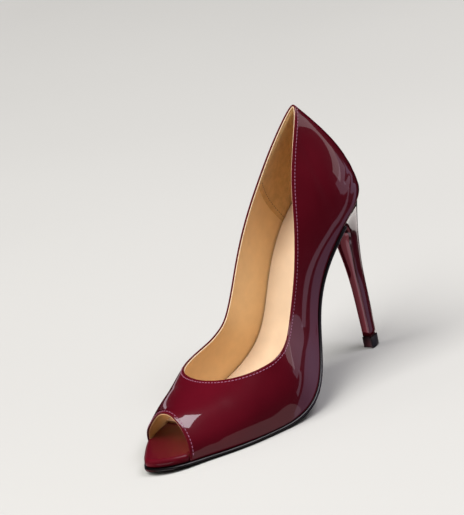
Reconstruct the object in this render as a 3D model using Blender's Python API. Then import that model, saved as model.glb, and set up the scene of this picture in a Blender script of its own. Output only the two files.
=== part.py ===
"""Left peep-toe pump on a stiletto heel: upper, insole, sock, outsole, heel and top lift.

Sizes are in millimetres and degrees, and the meshes are made in metres. The toe points to -Y, the outer
(lateral) side of the foot is +X, and the shoe stands on z = 0 on its tread and its top lift.
"""

import bpy
import numpy as np

MM = 0.001

# Driving dimensions
FEATHER_LENGTH = 245.0  # toe tip to heel back, measured along the bottom of the last
BALL_WIDTH = 75.0  # at the feather edge, across the widest part of the forefoot
INSTEP_HEIGHT = 60.0  # of the closed crown, over the back of the ball
HEEL_HEIGHT = 108.0  # of the seat's back, over the floor
BACK_HEIGHT = 63.0  # of the collar at the back seam, over the seat
WALL = 1.8  # upper leather with its lining
SEAM_GAP = 0.3  # clearance between pieces that are cemented together
OUTSOLE_THICKNESS = 2.4
OUTSOLE_EDGE_OUT = 0.5  # the sole's edge stands this far outside the upper
OUTSOLE_EDGE_ROUND = 0.6
TOE_INSOLE_THICKNESS = 5.0  # wrapped insole that shows in the open toe
SEAT_INSOLE_THICKNESS = 2.6
INSOLE_ROLL = 2.2  # radius of the rolled front edge of the insole
SOCK_THICKNESS = 1.0
SOCK_EDGE = 0.4
SOCK_INSET = 0.5
SOCK_FRONT_SHARE = 0.2
INSOLE_TAPER_SHARE = 0.28  # length over which the insole thins behind the toe
INSOLE_STEP_START = 0.024  # the insole starts to step in this far before the open toe's corner
INSOLE_STEP_SHARE = 0.016
LIFT_HEIGHT = 7.0
LIFT_OVERHANG = 0.4
LIFT_EDGE = 0.4
BREAST_SHARE = 0.85  # where the heel's front face meets the sole
BREAST_HOLLOW = 0.12  # depth of the hollow in the heel's front face, as a share of its depth
HEEL_INSET = 0.3  # the heel's seat stays this far inside the upper
TIP_SHARE, TAIL_SHARE = 0.0004, 0.9996  # ends of the outlines, a hair short of the tips

# Mesh fineness
UPPER_COLUMNS = 56  # on each side
PEEP_COLUMNS = 10
UPPER_ROWS = 12
PLATE_STATIONS = 40
WALL_STATIONS = 160
ROLL_STEPS = 4
HEEL_SIDE_POINTS = 14
HEEL_BREAST_POINTS = 5
HEEL_RINGS_PER_ROW = 3
CURVE_STEPS = 800
SLOPE_HALVINGS = 40

# Slope of the last's bottom along its length, as a share of its steepest slope, which the heel height sets:
# a little toe spring, flat at the tread, steepest in the shank and easing to the seat
BOTTOM_COLUMNS = ("share", "slope")
BOTTOM = (
    (0.00, -0.10),
    (0.20, 0.00),
    (0.27, 0.00),
    (0.40, 0.40),
    (0.50, 0.77),
    (0.60, 1.00),
    (0.80, 0.75),
    (1.00, 0.35),
)

# Cross sections of the last: width at the feather edge and swing to the outer side as shares of the ball
# width, the closed crown as a share of the instep, and the width's share at the shoulder and the ridge
LAST_COLUMNS = ("share", "width", "swing", "crown", "shoulder", "ridge")
LAST = (
    (0.05, 0.55, 0.00, 0.45, 0.80, 0.30),
    (0.10, 0.65, -0.04, 0.45, 0.85, 0.35),
    (0.20, 0.88, -0.04, 0.53, 0.95, 0.55),
    (0.30, 1.00, -0.02, 0.80, 0.95, 0.55),
    (0.40, 1.00, 0.02, 1.00, 0.88, 0.50),
    (0.55, 0.66, 0.03, 1.10, 1.08, 0.40),
    (0.70, 0.57, -0.02, 1.25, 0.90, 0.30),
    (0.85, 0.65, -0.02, 1.40, 0.40, 0.20),
    (1.00, 0.63, 0.00, 1.50, 0.30, 0.10),
)
SWELL = 0.5  # how far the wall stands out over the feather edge
SWELL_SHARE = 0.3  # its height, as a share of the crown
SHOULDER_SHARE = 0.53
TOE_ROUND_SHARE = 0.165  # part of the length over which the toe's outline is rounded
TOE_ROUND_POWER = 2.0
HEEL_ROUND_SHARE = 0.12
HEEL_ROUND_POWER = 2.2
BACK_SWELL = 5.0  # the heel's back stands out low down and is drawn in at the collar
BACK_LEAN = 9.0
BACK_FADE = 0.8  # how soon the swell fades upward
BACK_START_SHARE = 0.72

# Height of the topline over the feather edge, from the throat to the back, as a share of the back's height
TOPLINE_COLUMNS = ("way", "lateral", "medial")
THROAT_SHARE = 0.22
TOPLINE = (
    (0.15, 0.57, 0.55),
    (0.35, 0.52, 0.55),
    (0.60, 0.38, 0.52),
    (0.80, 0.66, 0.68),
    (1.00, 1.00, 1.00),
)

# The open toe: where its edge crosses the crown and meets the two feather edges
PEEP_CROWN_SHARE = 0.08
PEEP_LATERAL_SHARE = 0.07
PEEP_MEDIAL_SHARE = 0.11

# The heel below its seat: distance ahead of the seat's back and height of its front and back, half its
# width, and how much of the seat's outline it keeps. Heights are shares of the heel height
HEEL_COLUMNS = ("front_reach", "front_height", "back_reach", "back_height", "half_width", "seat_form")
HEEL_TIP = (LIFT_HEIGHT + SEAM_GAP / 2) / HEEL_HEIGHT
HEEL = (
    (22.0, 0.80, -1.0, 0.90, 16.0, 0.50),
    (13.0, 0.72, -1.0, 0.76, 9.0, 0.15),
    (12.0, 0.66, -0.5, 0.68, 7.0, 0.0),
    (11.0, 0.56, 0.5, 0.56, 5.5, 0.0),
    (10.0, 0.44, 0.5, 0.44, 4.0, 0.0),
    (9.0, 0.30, 0.0, 0.30, 3.5, 0.0),
    (8.0, HEEL_TIP, -0.5, HEEL_TIP, 3.2, 0.0),
)

LATERAL, MEDIAL = 1, -1


def natural_spline(xs, ys):
    """Smooth curve through the rows of a table, with no bend at its two ends."""
    xs = np.asarray(xs, float)
    ys = np.asarray(ys, float)
    count = len(xs)
    step = np.diff(xs)
    system = np.eye(count)
    right = np.zeros(count)
    for i in range(1, count - 1):
        system[i, i - 1 : i + 2] = step[i - 1], 2 * (step[i - 1] + step[i]), step[i]
        right[i] = 6 * ((ys[i + 1] - ys[i]) / step[i] - (ys[i] - ys[i - 1]) / step[i - 1])
    bend = np.linalg.solve(system, right)

    def value(x):
        x = np.asarray(x, float)
        i = np.clip(np.searchsorted(xs, x) - 1, 0, count - 2)
        a = (xs[i + 1] - x) / step[i]
        b = (x - xs[i]) / step[i]
        cubic = (a**3 - a) * bend[i] + (b**3 - b) * bend[i + 1]
        return a * ys[i] + b * ys[i + 1] + cubic * step[i] ** 2 / 6

    return value


def monotone_curve(xs, ys):
    """Smooth curve through the rows of a table that never overshoots, and stays flat between equal rows."""
    xs = np.asarray(xs, float)
    ys = np.asarray(ys, float)
    step = np.diff(xs)
    rise = np.diff(ys) / step
    slope = np.zeros(len(xs))
    for i in range(1, len(xs) - 1):
        if rise[i - 1] * rise[i] > 0:
            w1 = 2 * step[i] + step[i - 1]
            w2 = step[i] + 2 * step[i - 1]
            slope[i] = (w1 + w2) / (w1 / rise[i - 1] + w2 / rise[i])
    slope[0] = rise[0]
    slope[-1] = rise[-1]

    def value(x):
        x = np.asarray(x, float)
        i = np.clip(np.searchsorted(xs, x) - 1, 0, len(xs) - 2)
        t = (x - xs[i]) / step[i]
        return (
            ys[i] * (1 + 2 * t) * (1 - t) ** 2
            + slope[i] * step[i] * t * (1 - t) ** 2
            + ys[i + 1] * t**2 * (3 - 2 * t)
            + slope[i + 1] * step[i] * t**2 * (t - 1)
        )

    return value


def column(table, columns, name):
    return [row[columns.index(name)] for row in table]


def table_curve(table, columns, name, kind=natural_spline, size=1.0):
    """Curve through one column of a table, whose values are shares of a size."""
    return kind(column(table, columns, columns[0]), [size * share for share in column(table, columns, name)])


def smooth(t):
    t = np.clip(t, 0.0, 1.0)
    return t * t * (3 - 2 * t)


# The bottom of the last, seen from the side

curve_shares = np.linspace(0.0, 1.0, CURVE_STEPS + 1)
slope_form = table_curve(BOTTOM, BOTTOM_COLUMNS, "slope", monotone_curve)(curve_shares)


def integrated(rate):
    step = FEATHER_LENGTH / CURVE_STEPS
    return np.concatenate([[0.0], np.cumsum((rate[1:] + rate[:-1]) / 2 * step)])


def seat_height(steepest):
    """Height of the seat's back over the floor, for the steepest slope of the bottom."""
    rise = integrated(np.sin(steepest * slope_form))
    return rise[-1] - rise.min() + OUTSOLE_THICKNESS


def steepest_slope():
    """The slope that lifts the seat to the heel height, found by halving."""
    low, high = 0.0, np.pi / 2
    for _ in range(SLOPE_HALVINGS):
        middle = (low + high) / 2
        if seat_height(middle) < HEEL_HEIGHT:
            low = middle
        else:
            high = middle
    return high


curve_slopes = steepest_slope() * slope_form
curve_y = integrated(np.cos(curve_slopes))
curve_z = integrated(np.sin(curve_slopes))
curve_z += OUTSOLE_THICKNESS - curve_z.min()
Y_MIDDLE = curve_y[-1] / 2
curve_y -= Y_MIDDLE


def place(share, x, height, along=0.0):
    """A point at this share of the length, x to the side, and this far off the bottom of the last."""
    slope = np.interp(share, curve_shares, curve_slopes)
    y = np.interp(share, curve_shares, curve_y) + along * np.cos(slope) - height * np.sin(slope)
    z = np.interp(share, curve_shares, curve_z) + along * np.sin(slope) + height * np.cos(slope)
    return np.stack(np.broadcast_arrays(x, y, z), axis=-1)


# The last: a closed form whose walls run from the feather edge to the crown

last_width = table_curve(LAST, LAST_COLUMNS, "width", size=BALL_WIDTH)
last_swing = table_curve(LAST, LAST_COLUMNS, "swing", size=BALL_WIDTH)
crown_height = table_curve(LAST, LAST_COLUMNS, "crown", monotone_curve, INSTEP_HEIGHT)
shoulder_share = table_curve(LAST, LAST_COLUMNS, "shoulder")
ridge_share = table_curve(LAST, LAST_COLUMNS, "ridge")


def half_width(share, side):
    return last_width(share) / 2 + side * last_swing(share)


def end_rounding(share):
    """Factor on the width that rounds the toe and the heel in plan."""
    toe = np.clip((TOE_ROUND_SHARE - share) / TOE_ROUND_SHARE, 0, 1)
    heel = np.clip((share - 1 + HEEL_ROUND_SHARE) / HEEL_ROUND_SHARE, 0, 1)
    toe_factor = (1 - toe**TOE_ROUND_POWER) ** (1 / TOE_ROUND_POWER)
    return toe_factor * (1 - heel**HEEL_ROUND_POWER) ** (1 / HEEL_ROUND_POWER)


def feather(share, side):
    """Half width at the feather edge, where the upper meets the sole."""
    return half_width(share, side) * end_rounding(share)


DEGREE = 3
SECTION_POINTS = 8
SECTION_KNOTS = np.concatenate(
    [np.zeros(DEGREE), np.linspace(0, 1, SECTION_POINTS - DEGREE + 1), np.ones(DEGREE)]
)


def section_weights(v):
    """Weights of a section's control points in a cubic B-spline, at v from 0 (lateral) to 1 (medial)."""
    knots = SECTION_KNOTS
    v = np.clip(np.asarray(v, float), 0.0, 1.0 - 1e-12)
    weights = [((knots[i] <= v) & (v < knots[i + 1])).astype(float) for i in range(len(knots) - 1)]
    for degree in range(1, DEGREE + 1):
        raised = []
        for i in range(len(weights) - 1):
            below = knots[i + degree] - knots[i]
            above = knots[i + degree + 1] - knots[i + 1]
            weight = np.zeros_like(v)
            if below > 0:
                weight = weight + (v - knots[i]) / below * weights[i]
            if above > 0:
                weight = weight + (knots[i + degree + 1] - v) / above * weights[i + 1]
            raised.append(weight)
        weights = raised
    return np.stack(weights, axis=-1)


HEIGHT_SHARES = np.array([0, SWELL_SHARE, SHOULDER_SHARE, 1, 1, SHOULDER_SHARE, SWELL_SHARE, 0])


def last_point(share, v):
    """A point on the last, at v from 0 (lateral feather edge) over the crown to 1 (medial feather edge)."""
    share, v = np.broadcast_arrays(np.asarray(share, float), np.asarray(v, float))
    rounding = end_rounding(share)
    shoulder = shoulder_share(share)
    ridge = ridge_share(share)
    sides = []
    for side in (LATERAL, MEDIAL):
        edge = half_width(share, side)
        full = edge + SWELL
        sides.append([side * w * rounding for w in (edge, full, full * shoulder, edge * ridge)])
    across = np.stack(sides[0] + sides[1][::-1], axis=-1)
    weights = section_weights(v)
    x = (weights * across).sum(-1)
    height = (weights @ HEIGHT_SHARES) * crown_height(share) + SEAM_GAP / 2
    rise = height / BACK_HEIGHT
    ramp = np.clip((share - BACK_START_SHARE) / (1 - BACK_START_SHARE), 0, 1) ** 2
    swell = BACK_SWELL * 4 * rise * (1 - rise) * np.exp(-BACK_FADE * rise)
    return place(share, x, height, ramp * (swell - BACK_LEAN * rise * rise))


HALF_SECTION = np.linspace(0.0, 0.5, 401)
HALF_SECTION_HEIGHT = section_weights(HALF_SECTION) @ HEIGHT_SHARES
CROWN_RATIO = HALF_SECTION_HEIGHT[-1]


def topline(way, side):
    """(share, v) of the collar's edge, from the throat (way 0) to the back (way 1)."""
    share = THROAT_SHARE + (1 - THROAT_SHARE) * np.asarray(way, float)
    name = "lateral" if side == LATERAL else "medial"
    ways = [0.0] + column(TOPLINE, TOPLINE_COLUMNS, "way")
    throat = crown_height(THROAT_SHARE) * CROWN_RATIO / BACK_HEIGHT
    shares = [throat] + column(TOPLINE, TOPLINE_COLUMNS, name)
    height = BACK_HEIGHT * natural_spline(ways, shares)(way)
    v = np.interp(np.minimum(height / crown_height(share), CROWN_RATIO), HALF_SECTION_HEIGHT, HALF_SECTION)
    return share, v if side == LATERAL else 1 - v


def peep_edge(reach, side):
    """(share, v) of the open toe's edge, from the crown (reach 0) to the feather edge (reach 1)."""
    reach = np.asarray(reach, float)
    end = PEEP_LATERAL_SHARE if side == LATERAL else PEEP_MEDIAL_SHARE
    share = PEEP_CROWN_SHARE + (end - PEEP_CROWN_SHARE) * reach**2
    return share, 0.5 * (1 - side * reach)


# The upper: columns run from the open toe and the feather edge up to the topline


def upper_grid(side):
    """(share, v) for every column and row of one side, from the middle of the vamp to the back seam."""
    way = np.linspace(0.0, 1.0, UPPER_COLUMNS + 1)
    row = np.linspace(0.0, 1.0, UPPER_ROWS + 1)
    arch_share, arch_v = peep_edge(way[: PEEP_COLUMNS + 1] / way[PEEP_COLUMNS], side)
    along = (way[PEEP_COLUMNS + 1 :] - way[PEEP_COLUMNS]) / (1 - way[PEEP_COLUMNS])
    edge_share = arch_share[-1] + (1 - arch_share[-1]) * np.sin(along * np.pi / 2)
    low_share = np.concatenate([arch_share, edge_share])
    low_v = np.concatenate([arch_v, np.full(len(along), arch_v[-1])])
    high_share, high_v = topline((1 - np.cos(np.pi * way)) / 2, side)
    share = low_share[:, None] * (1 - row) + high_share[:, None] * row
    v = low_v[:, None] * (1 - row) + high_v[:, None] * row
    return share, v


def upper_walls():
    """Outer and inner wall as grids: columns round the shoe by rows up to the topline."""
    sides = [upper_grid(LATERAL), upper_grid(MEDIAL)]
    share, v = (np.concatenate([sides[0][k], sides[1][k][-2:0:-1]]) for k in (0, 1))
    outer = last_point(share, v)
    outer[[0, UPPER_COLUMNS], :, 0] = 0.0
    around = np.roll(outer, -1, axis=0) - np.roll(outer, 1, axis=0)
    normal = np.cross(around, np.gradient(outer, axis=1))
    normal /= np.linalg.norm(normal, axis=2)[..., None]
    slope = np.interp(share[:, 0], curve_shares, curve_slopes)
    up = np.column_stack([np.zeros_like(slope), -np.sin(slope), np.cos(slope)])
    for i in range(PEEP_COLUMNS, len(outer) - PEEP_COLUMNS + 1):
        normal[i, 0] -= up[i] * (normal[i, 0] @ up[i])
        normal[i, 0] /= np.linalg.norm(normal[i, 0])
    return outer, outer - WALL * normal


# Plates that follow the bottom of the last


def plate_outline(width, start, end, stations=PLATE_STATIONS):
    """Closed outline in the unrolled bottom: distance from the toe, and x. Outer side first, then inner."""
    turn = np.linspace(0.0, np.pi, stations)
    share = start + (end - start) * (1 - np.cos(turn)) / 2
    outer = np.column_stack([share * FEATHER_LENGTH, width(share, LATERAL)])
    inner = np.column_stack([share * FEATHER_LENGTH, -width(share, MEDIAL)])
    return np.concatenate([outer, inner[::-1]])


def inset(outline, distance):
    """The outline drawn in by a distance, square to its edges."""
    edge = np.roll(outline, -1, axis=0) - outline
    edge /= np.linalg.norm(edge, axis=1)[:, None]
    normal = np.column_stack([edge[:, 1], -edge[:, 0]])
    inward = normal + np.roll(normal, 1, axis=0)
    inward /= np.linalg.norm(inward, axis=1)[:, None]
    mitre = np.clip((inward * normal).sum(1), 0.5, 1.0)
    return outline + inward * (distance / mitre)[:, None]


def plate(outline, layers):
    """Rings of a plate from its underside to its top; each layer gives an inset and a height by share."""
    rings = []
    for distance, height in layers:
        ring = inset(outline, distance(outline[:, 0] / FEATHER_LENGTH))
        share = np.clip(ring[:, 0] / FEATHER_LENGTH, 0.0, 1.0)
        along = ring[:, 0] - share * FEATHER_LENGTH
        rings.append(place(share, ring[:, 1], height(share), along))
    return rings


def level(value):
    return lambda share: np.full_like(share, value)


def insole_top(share):
    thinning = smooth((share - SOCK_FRONT_SHARE) / INSOLE_TAPER_SHARE)
    return TOE_INSOLE_THICKNESS + (SEAT_INSOLE_THICKNESS - TOE_INSOLE_THICKNESS) * thinning


inside_wall = inset(plate_outline(feather, TIP_SHARE, TAIL_SHARE, WALL_STATIONS), WALL + SEAM_GAP)
inside_half = {
    LATERAL: inside_wall[: WALL_STATIONS],
    MEDIAL: inside_wall[: WALL_STATIONS - 1 : -1],
}


def insole_width(share, side):
    """Full width in the open toe, and inside the upper's wall behind it."""
    corner = PEEP_LATERAL_SHARE if side == LATERAL else PEEP_MEDIAL_SHARE
    behind = smooth((share - corner + INSOLE_STEP_START) / INSOLE_STEP_SHARE)
    narrow = np.interp(share * FEATHER_LENGTH, inside_half[side][:, 0], np.abs(inside_half[side][:, 1]))
    return (1 - behind) * feather(share, side) + behind * narrow


def insole_rings():
    def roll(share):
        return INSOLE_ROLL * insole_top(share) / TOE_INSOLE_THICKNESS

    layers = [
        (lambda share: roll(share) / 2, level(SEAM_GAP / 2)),
        (level(0.0), lambda share: SEAM_GAP / 2 + roll(share) / 2),
    ]
    for turn in np.linspace(0.0, np.pi / 2, ROLL_STEPS):
        layers.append(
            (
                lambda share, turn=turn: roll(share) * (1 - np.cos(turn)),
                lambda share, turn=turn: insole_top(share) - roll(share) * (1 - np.sin(turn)),
            )
        )
    end = TAIL_SHARE - (WALL + SEAM_GAP) / FEATHER_LENGTH
    return plate(plate_outline(insole_width, TIP_SHARE, end), layers)


def sock_rings():
    edge = SOCK_EDGE
    layers = []
    for distance, height in ((0.0, 0.0), (0.0, SOCK_THICKNESS - edge), (edge, SOCK_THICKNESS)):
        layers.append((level(distance), lambda share, height=height: insole_top(share) + SEAM_GAP + height))
    end = TAIL_SHARE - (WALL + SEAM_GAP + SOCK_INSET) / FEATHER_LENGTH

    def width(share, side):
        return insole_width(share, side) - SOCK_INSET

    return plate(plate_outline(width, SOCK_FRONT_SHARE, end), layers)


def outsole_rings():
    edge = OUTSOLE_EDGE_ROUND
    layers = [
        (level(edge - OUTSOLE_EDGE_OUT), level(-OUTSOLE_THICKNESS)),
        (level(-OUTSOLE_EDGE_OUT), level(edge - OUTSOLE_THICKNESS)),
        (level(-OUTSOLE_EDGE_OUT), level(-edge - SEAM_GAP / 2)),
        (level(edge - OUTSOLE_EDGE_OUT), level(-SEAM_GAP / 2)),
    ]
    end = BREAST_SHARE - SEAM_GAP / FEATHER_LENGTH
    return plate(plate_outline(feather, TIP_SHARE, end), layers)


# The heel and its lift: rings with a nearly flat front (the breast) and a round back

heel_turn = np.linspace(0.0, np.pi, 2 * HEEL_SIDE_POINTS + 1)
breast_way = np.linspace(-1.0, 1.0, HEEL_BREAST_POINTS + 2)[1:-1]
SEAT_BACK_Y = curve_y[-1]


def seat_edge():
    """The heel seat's outline, from its outer front corner round the back to its inner front corner."""
    share = BREAST_SHARE + (TAIL_SHARE - BREAST_SHARE) * np.sin(heel_turn)
    x = np.where(heel_turn < np.pi / 2, feather(share, LATERAL), -feather(share, MEDIAL))
    x = np.sign(x) * np.maximum(np.abs(x) - HEEL_INSET, 0.0)
    x[HEEL_SIDE_POINTS] = 0.0
    return place(share, x, -SEAM_GAP / 2)


def d_ring(front, back, half_width, hollow, plan):
    """Closed ring between two points (y, z): plan gives x round the back, as shares of the half width."""
    depth = np.subtract(back, front)
    round_part = np.column_stack([half_width * plan, front + np.sin(heel_turn)[:, None] * depth])
    dip = hollow * (1 - breast_way**2)
    breast = np.column_stack([half_width * breast_way, front + dip[:, None] * depth])
    return np.concatenate([round_part, breast])


def heel_rings():
    seat = seat_edge()
    front, back = seat[0, 1:], seat[HEEL_SIDE_POINTS, 1:]
    seat_half_width = (seat[0, 0] - seat[-1, 0]) / 2
    seat_plan = seat[:, 0] / seat_half_width
    sag = seat[:, 1:] - (front + np.sin(heel_turn)[:, None] * (back - front))
    reach = SEAT_BACK_Y - seat[[0, HEEL_SIDE_POINTS], 1]
    height = seat[[0, HEEL_SIDE_POINTS], 2] / HEEL_HEIGHT
    rows = ((reach[0], height[0], reach[1], height[1], seat_half_width, 1.0),) + HEEL
    fine = np.linspace(0, len(HEEL), HEEL_RINGS_PER_ROW * len(HEEL) + 1)
    size = {}
    for name in HEEL_COLUMNS:
        size[name] = natural_spline(range(len(rows)), column(rows, HEEL_COLUMNS, name))(fine)
    rings = []
    for i in range(len(fine)):
        form = np.clip(size["seat_form"][i], 0.0, 1.0)
        ring = d_ring(
            (SEAT_BACK_Y - size["front_reach"][i], HEEL_HEIGHT * size["front_height"][i]),
            (SEAT_BACK_Y - size["back_reach"][i], HEEL_HEIGHT * size["back_height"][i]),
            size["half_width"][i],
            BREAST_HOLLOW * (1 - form),
            (1 - form) * np.cos(heel_turn) + form * seat_plan,
        )
        ring[: len(sag), 1:] += form * sag
        rings.append(ring)
    return rings[::-1]


def lift_rings():
    tip = dict(zip(HEEL_COLUMNS, HEEL[-1]))
    rings = []
    for height, grow in (
        (0.0, LIFT_OVERHANG - LIFT_EDGE),
        (LIFT_EDGE, LIFT_OVERHANG),
        (LIFT_HEIGHT - SEAM_GAP / 2, LIFT_OVERHANG),
    ):
        front = (SEAT_BACK_Y - tip["front_reach"] - grow, height)
        back = (SEAT_BACK_Y - tip["back_reach"] + grow, height)
        rings.append(d_ring(front, back, tip["half_width"] + grow, BREAST_HOLLOW, np.cos(heel_turn)))
    return rings


# Meshes


def ring_faces(count, rings):
    faces = []
    for level_index in range(rings - 1):
        for i in range(count):
            j = (i + 1) % count
            low, high = level_index * count, (level_index + 1) * count
            faces.append((low + i, low + j, high + j, high + i))
    return faces


def ladder(count, first):
    """Cap across a ring whose second half runs back beside the first."""
    last = first + count - 1
    return [(first + i, first + i + 1, last - i - 1, last - i) for i in range(count // 2 - 1)]


def plate_mesh(rings):
    count = len(rings[0])
    faces = ring_faces(count, len(rings))
    faces += [face[::-1] for face in ladder(count, 0)]
    faces += ladder(count, count * (len(rings) - 1))
    return np.concatenate(rings), faces


def heel_mesh(rings):
    """The seat follows the last, so its cap runs across in strips; the tip's cap is one flat face."""
    count = len(rings[0])
    sides = 2 * HEEL_SIDE_POINTS + 1
    first = count * (len(rings) - 1)
    faces = ring_faces(count, len(rings))
    faces.append(tuple(range(count))[::-1])
    front_strip = [first + sides - 2, first + sides - 1]
    front_strip += [first + i for i in range(sides, count)]
    faces.append(tuple(front_strip + [first, first + 1]))
    for i in range(1, HEEL_SIDE_POINTS - 1):
        faces.append((first + i, first + i + 1, first + sides - 2 - i, first + sides - 1 - i))
    i = HEEL_SIDE_POINTS
    faces.append((first + i - 1, first + i, first + i + 1))
    return np.concatenate(rings), faces


def lift_mesh(rings):
    count = len(rings[0])
    faces = ring_faces(count, len(rings))
    first = count * (len(rings) - 1)
    faces.append(tuple(range(count))[::-1])
    faces.append(tuple(range(first, first + count)))
    return np.concatenate(rings), faces


def upper_mesh(outer, inner):
    columns, rows = outer.shape[:2]
    points = np.concatenate([outer.reshape(-1, 3), inner.reshape(-1, 3)])
    offset = columns * rows
    faces = []
    for i in range(columns):
        j = (i + 1) % columns
        for k in range(rows - 1):
            face = (i * rows + k, j * rows + k, j * rows + k + 1, i * rows + k + 1)
            faces.append(face)
            faces.append(tuple(offset + p for p in face[::-1]))
        low, low_next = i * rows, j * rows
        top, top_next = i * rows + rows - 1, j * rows + rows - 1
        faces.append((offset + low, offset + low_next, low_next, low))
        faces.append((top, top_next, offset + top_next, offset + top))
    return points, faces


def linear(hex_colour):
    channels = [int(hex_colour[i : i + 2], 16) / 255 for i in (1, 3, 5)]
    return [c / 12.92 if c <= 0.04045 else ((c + 0.055) / 1.055) ** 2.4 for c in channels]


def material(name, hex_colour, roughness):
    made = bpy.data.materials.new(name)
    made.use_nodes = True
    shader = made.node_tree.nodes["Principled BSDF"]
    shader.inputs["Base Color"].default_value = (*linear(hex_colour), 1.0)
    shader.inputs["Roughness"].default_value = roughness
    return made


def main():
    for existing in list(bpy.data.objects):
        bpy.data.objects.remove(existing, do_unlink=True)
    pieces = {
        "upper": (upper_mesh(*upper_walls()), material("burgundy_patent_leather", "#5a0a16", 0.12)),
        "insole": (plate_mesh(insole_rings()), material("wrapped_patent_leather", "#5a0a16", 0.15)),
        "sock": (plate_mesh(sock_rings()), material("beige_sock_leather", "#f0cda5", 0.5)),
        "outsole": (plate_mesh(outsole_rings()), material("black_sole_leather", "#141212", 0.3)),
        "heel": (heel_mesh(heel_rings()), material("burgundy_heel_cover", "#5a0a16", 0.15)),
        "top_lift": (lift_mesh(lift_rings()), material("black_lift_rubber", "#161616", 0.5)),
    }
    points = np.concatenate([mesh[0] for mesh, _ in pieces.values()])
    middle = (points.min(axis=0) + points.max(axis=0)) / 2
    middle[2] = 0.0
    for name, ((vertices, faces), finish) in pieces.items():
        mesh = bpy.data.meshes.new(name)
        mesh.from_pydata(((vertices - middle) * MM).tolist(), [], faces)
        mesh.materials.append(finish)
        mesh.validate()
        bpy.context.scene.collection.objects.link(bpy.data.objects.new(name, mesh))


if __name__ == "__main__":
    main()
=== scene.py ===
"""Looks of a left peep-toe stiletto pump in burgundy patent leather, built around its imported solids.

Laid out as a Blender add-on and run as a script. Lengths are in millimetres and meshes are made in metres,
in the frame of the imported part: the toe points to -Y, +X is the outer side of the foot, z = 0 is the floor.
"""

import math

import bpy
import numpy as np
from mathutils import Matrix, Vector


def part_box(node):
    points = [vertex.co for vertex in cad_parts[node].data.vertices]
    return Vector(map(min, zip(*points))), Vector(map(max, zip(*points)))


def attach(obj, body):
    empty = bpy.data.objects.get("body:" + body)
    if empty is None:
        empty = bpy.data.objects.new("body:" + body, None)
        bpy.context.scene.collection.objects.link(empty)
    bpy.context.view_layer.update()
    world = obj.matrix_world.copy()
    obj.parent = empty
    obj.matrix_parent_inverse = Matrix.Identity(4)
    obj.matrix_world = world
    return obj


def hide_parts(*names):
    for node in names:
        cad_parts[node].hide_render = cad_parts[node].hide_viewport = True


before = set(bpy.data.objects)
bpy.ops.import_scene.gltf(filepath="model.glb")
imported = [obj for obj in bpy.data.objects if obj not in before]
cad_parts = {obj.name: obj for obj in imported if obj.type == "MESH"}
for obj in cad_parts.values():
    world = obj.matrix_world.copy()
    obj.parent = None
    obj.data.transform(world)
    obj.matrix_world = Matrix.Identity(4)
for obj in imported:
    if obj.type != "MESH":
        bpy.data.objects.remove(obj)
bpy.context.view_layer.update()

bl_info = {
    "name": "Peep-toe pump",
    "version": (1, 0, 0),
    "blender": (4, 5, 0),
    "location": "View3D > Sidebar > Pump",
    "description": "Patent leather upper, lining, stitching, sole and heel of a peep-toe pump",
    "category": "Object",
}

MM = 0.001
LATERAL, MEDIAL = 1, -1

# Driving dimensions, the same as those of the solids
FEATHER_LENGTH = 245.0
BALL_WIDTH = 75.0  # at the feather edge, across the widest part of the forefoot
INSTEP_HEIGHT = 60.0  # of the closed crown, over the back of the ball
HEEL_HEIGHT = 108.0  # of the seat's back, over the floor
BACK_HEIGHT = 63.0  # of the collar at the back seam, over the seat
WALL = 1.8
SEAM_GAP = 0.3
OUTSOLE_THICKNESS = 2.4
OUTSOLE_EDGE_OUT = 0.5
OUTSOLE_EDGE_ROUND = 0.9  # rounder than the solid's, as the edge is burnished
TOE_INSOLE_THICKNESS = 5.0
SEAT_INSOLE_THICKNESS = 2.6
INSOLE_ROLL = 2.2
SOCK_THICKNESS = 1.0
SOCK_INSET = 0.5
SOCK_FRONT_SHARE = 0.2
INSOLE_TAPER_SHARE = 0.28
INSOLE_STEP_START, INSOLE_STEP_SHARE = 0.006, 0.016
LIFT_HEIGHT = 7.0
LIFT_OVERHANG = 0.4
LIFT_EDGE = 0.4
BREAST_SHARE = 0.85
BREAST_HOLLOW = 0.12
HEEL_INSET = 0.3
TIP_SHARE, TAIL_SHARE = 0.00002, 0.9996

# Slope of the last's bottom, as a share of its steepest slope, which the heel height sets
BOTTOM_COLUMNS = ("share", "slope")
BOTTOM = (
    (0.00, -0.10),
    (0.20, 0.00),
    (0.27, 0.00),
    (0.40, 0.40),
    (0.50, 0.77),
    (0.60, 1.00),
    (0.80, 0.75),
    (1.00, 0.35),
)

# Cross sections of the last: width at the feather edge and swing to the outer side as shares of the ball
# width, the closed crown as a share of the instep, and the width's share at the shoulder and the ridge
LAST_COLUMNS = ("share", "width", "swing", "crown", "shoulder", "ridge")
LAST = (
    (0.05, 0.55, 0.00, 0.45, 0.80, 0.30),
    (0.10, 0.65, -0.04, 0.45, 0.85, 0.35),
    (0.20, 0.88, -0.04, 0.53, 0.95, 0.55),
    (0.30, 1.00, -0.02, 0.80, 0.95, 0.55),
    (0.40, 1.00, 0.02, 1.00, 0.88, 0.50),
    (0.55, 0.66, 0.03, 1.10, 1.08, 0.40),
    (0.70, 0.57, -0.02, 1.25, 0.90, 0.30),
    (0.85, 0.65, -0.02, 1.40, 0.40, 0.20),
    (1.00, 0.63, 0.00, 1.50, 0.30, 0.10),
)
SWELL = 0.5
SWELL_SHARE = 0.3
SHOULDER_SHARE = 0.53
TOE_ROUND_SHARE = 0.165
TOE_ROUND_POWER = 2.0
HEEL_ROUND_SHARE = 0.12
HEEL_ROUND_POWER = 2.2
BACK_SWELL = 5.0
BACK_LEAN = 9.0
BACK_FADE = 0.8
BACK_START_SHARE = 0.72

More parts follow.
